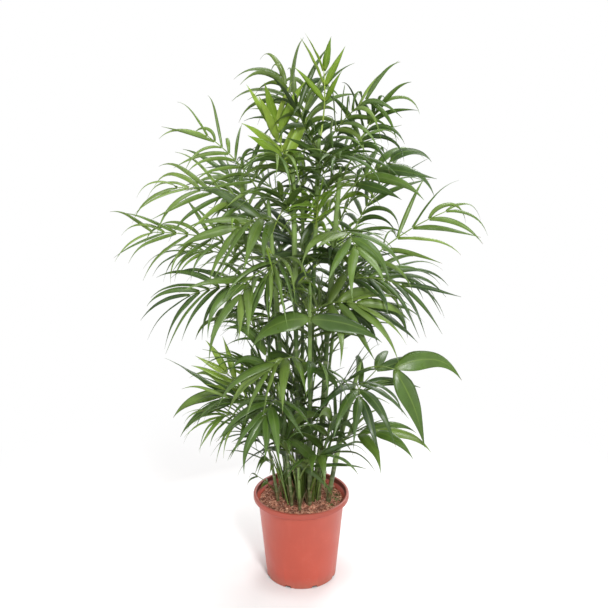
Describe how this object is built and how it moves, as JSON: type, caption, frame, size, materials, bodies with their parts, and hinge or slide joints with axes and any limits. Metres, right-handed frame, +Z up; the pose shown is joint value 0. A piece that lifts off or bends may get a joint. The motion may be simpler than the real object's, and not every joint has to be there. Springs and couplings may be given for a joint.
{
  "type": "potted bamboo palm",
  "caption": "Clump-forming bamboo palm with slender green canes and arching feathery fronds, growing in potting mix in a round tapered plastic nursery pot with a flat lip.",
  "frame": {"origin": "on the ground at the middle of the pot's base", "axes": "+Z up along the pot's axis, front of the plant towards -Y, +X to the right seen from the front"},
  "size_m": [0.7675, 0.6256, 1.1986],
  "materials": {
    "pot_plastic": "satin moulded terracotta-coloured plastic",
    "potting_mix": "coarse damp coir and peat",
    "cane": "smooth green cane with pale ring scars",
    "leaf": "waxy mid green leaf",
    "young_leaf": "soft yellow-green new leaf"
  },
  "bodies": {
    "root": {"cane_01": "cane", "cane_02": "cane", "cane_03": "cane", "cane_04": "cane", "cane_05": "cane", "cane_06": "cane", "cane_07": "cane", "cane_08": "cane", "cane_09": "cane", "cane_10": "cane", "cane_11": "cane", "cane_12": "cane", "frond_01_1": "young_leaf", "frond_01_2": "leaf", "frond_01_3": "leaf", "frond_01_4": "leaf", "frond_01_5": "leaf", "frond_02_1": "young_leaf", "frond_02_2": "leaf", "frond_02_3": "leaf", "frond_02_4": "leaf", "frond_02_5": "leaf", "frond_03_1": "leaf", "frond_03_2": "leaf", "frond_03_3": "leaf", "frond_03_4": "leaf", "frond_03_5": "leaf", "frond_04_1": "leaf", "frond_04_2": "leaf", "frond_04_3": "leaf", "frond_04_4": "leaf", "frond_04_5": "leaf", "frond_05_1": "leaf", "frond_05_2": "leaf", "frond_05_3": "leaf", "frond_06_1": "leaf", "frond_06_2": "leaf", "frond_06_3": "leaf", "frond_07_1": "leaf", "frond_07_2": "leaf", "frond_07_3": "leaf", "frond_08_1": "leaf", "frond_08_2": "leaf", "frond_08_3": "leaf", "frond_08_4": "leaf", "frond_09_1": "leaf", "frond_09_2": "leaf", "frond_09_3": "leaf", "frond_10_1": "leaf", "frond_10_2": "young_leaf", "frond_10_3": "leaf", "frond_11_1": "leaf", "frond_11_2": "leaf", "frond_11_3": "leaf", "frond_11_4": "leaf", "frond_12_1": "leaf", "frond_12_2": "leaf", "pot": "pot_plastic", "potting_mix": "potting_mix"}
  },
  "joints": []
}
